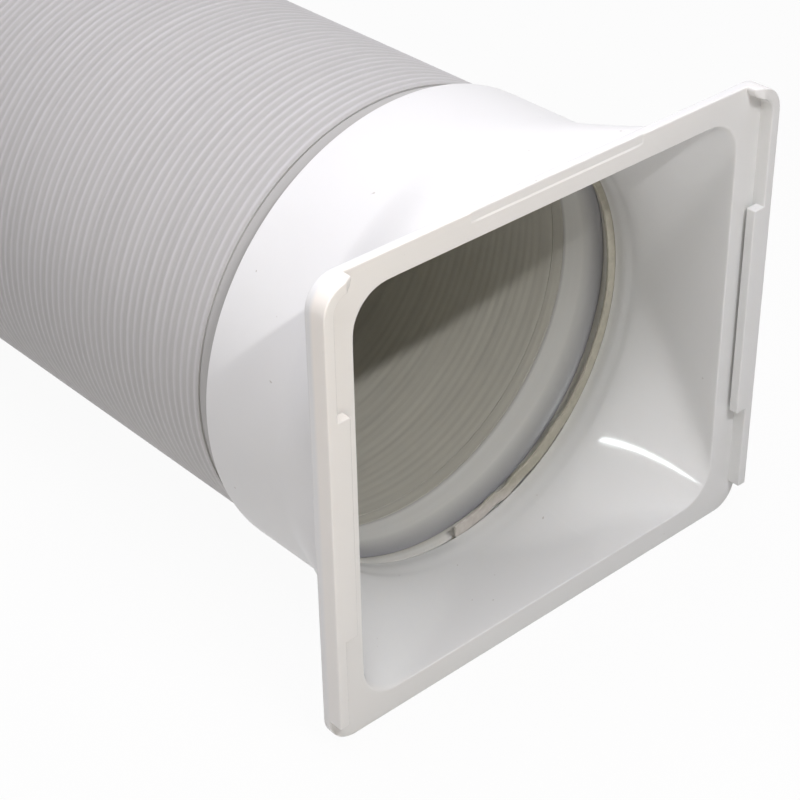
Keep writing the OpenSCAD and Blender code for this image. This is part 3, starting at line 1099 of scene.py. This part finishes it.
def duct_piece(name, node, body, next_body=None):
    """A stretch of duct. One that has a next body rides on no body; its place is baked into its mesh."""
    ridden = None if next_body else body
    piece = finish_piece(stretch_of_duct(node), name, node, "duct_grey", ridden, even_shading=False)
    if next_body:
        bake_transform(piece)
    return piece


# %% [markdown]
# The duct is drawn in nine stretches. Four short rings ride on one body each. The others lie between
# two bodies, ride on neither, and have their place baked into their mesh.

# %% All the stretches
RING_BODIES = ["first_ring", "second_ring", "third_ring", "fourth_ring"]
duct_piece("duct_near", "hose_near", "inlet", "first_ring")
for number, ring_body in enumerate(RING_BODIES, start=1):
    duct_piece(f"duct_ring_{number}", f"hose_ring_{number}", ring_body)
for number, (ring_body, next_ring) in enumerate(zip(RING_BODIES, RING_BODIES[1:]), start=1):
    duct_piece(f"duct_bend_{number}", f"hose_bend_{number}", ring_body, next_ring)
duct_piece("duct_far", "hose_far", "fourth_ring", "outlet")
print("duct is drawn in", len(RING_BODIES) * 2 + 1, "stretches")

# %% [markdown]
# ## The duct's cuff and its liner
#
# The duct ends in a smooth band without ribs, which shows as a plain ring behind the collar. A short
# sleeve lines it, with a mouth that is rolled outwards. Both are round, so each is turned from a profile
# of a few points; the roll is a quarter of a cosine wave, and the last inner ribs follow the rib's formula.

# %% Cuff and liner
CUFF_SKIN = 1.2 * MM
INNER_BAND = 4.7 * MM
liner_front, liner_back, LINER_RIM = part_span("cuff_liner")
LINER_WALL = 1.2 * MM
ROLL_LENGTH = 6.5 * MM


def cuff_band():
    """The smooth cuff, with the duct's first inner ribs at its back."""
    bore = CUFF_RADIUS - CUFF_SKIN
    band = cuff_back - INNER_BAND
    ribs = [(inner_radius(y), y) for y in
            (cuff_back - INNER_BAND * step / 12 for step in range(13))]
    bm = turned([(bore, cuff_front), (CUFF_RADIUS, cuff_front), (CUFF_RADIUS, cuff_back), *ribs,
                 (bore, band)])
    soften(bm, sharp_edges(bm), 0.3 * MM)
    mark_walls(bm)
    return bm


def liner_sleeve():
    """The sleeve inside the cuff: its mouth is rolled outwards, its back has a plain rim."""
    wall = INNER_RADIUS + LINER_WALL
    roll = [(INNER_RADIUS + (LINER_RIM - INNER_RADIUS) * (1 - math.cos(turn)),
             liner_front + ROLL_LENGTH * (1 - math.sin(turn)))
            for turn in (math.radians(90 * step / 10) for step in range(11))]
    bm = turned([*roll, (LINER_RIM, liner_front + LINER_WALL),
                 (wall + 0.6 * MM, liner_front + ROLL_LENGTH), (wall, liner_back - LINER_WALL),
                 (LINER_RIM, liner_back - LINER_WALL), (LINER_RIM, liner_back),
                 (INNER_RADIUS, liner_back)])
    soften(bm, sharp_edges(bm), 0.3 * MM)
    return bm


finish_piece(cuff_band(), "duct_cuff", "near_cuff", "duct_grey", "inlet")
finish_piece(liner_sleeve(), "duct_liner", "cuff_liner", "liner_grey", "inlet")

# %% [markdown]
# ## Far cuff
#
# The appliance end is a plain cuff that pushes over a spigot, with a bead at each end to stiffen it. It
# is turned from one profile, with all its edges rounded by one bevel.

# %% Far cuff
FAR_BORE = 71 * MM
FAR_WALL = 73.4 * MM
BEAD_W = 3 * MM


def far_cuff_ring():
    """The cuff's wall with its two beads, all edges rounded."""
    start, end, bead = part_span("far_cuff")
    bm = turned([(FAR_BORE, start), (bead, start), (bead, start + BEAD_W), (FAR_WALL, start + BEAD_W),
                 (FAR_WALL, end - BEAD_W), (bead, end - BEAD_W), (bead, end), (FAR_BORE, end)])
    soften(bm, sharp_edges(bm), 0.6 * MM)
    return bm


finish_piece(far_cuff_ring(), "outlet_cuff", "far_cuff", "duct_grey", "outlet")
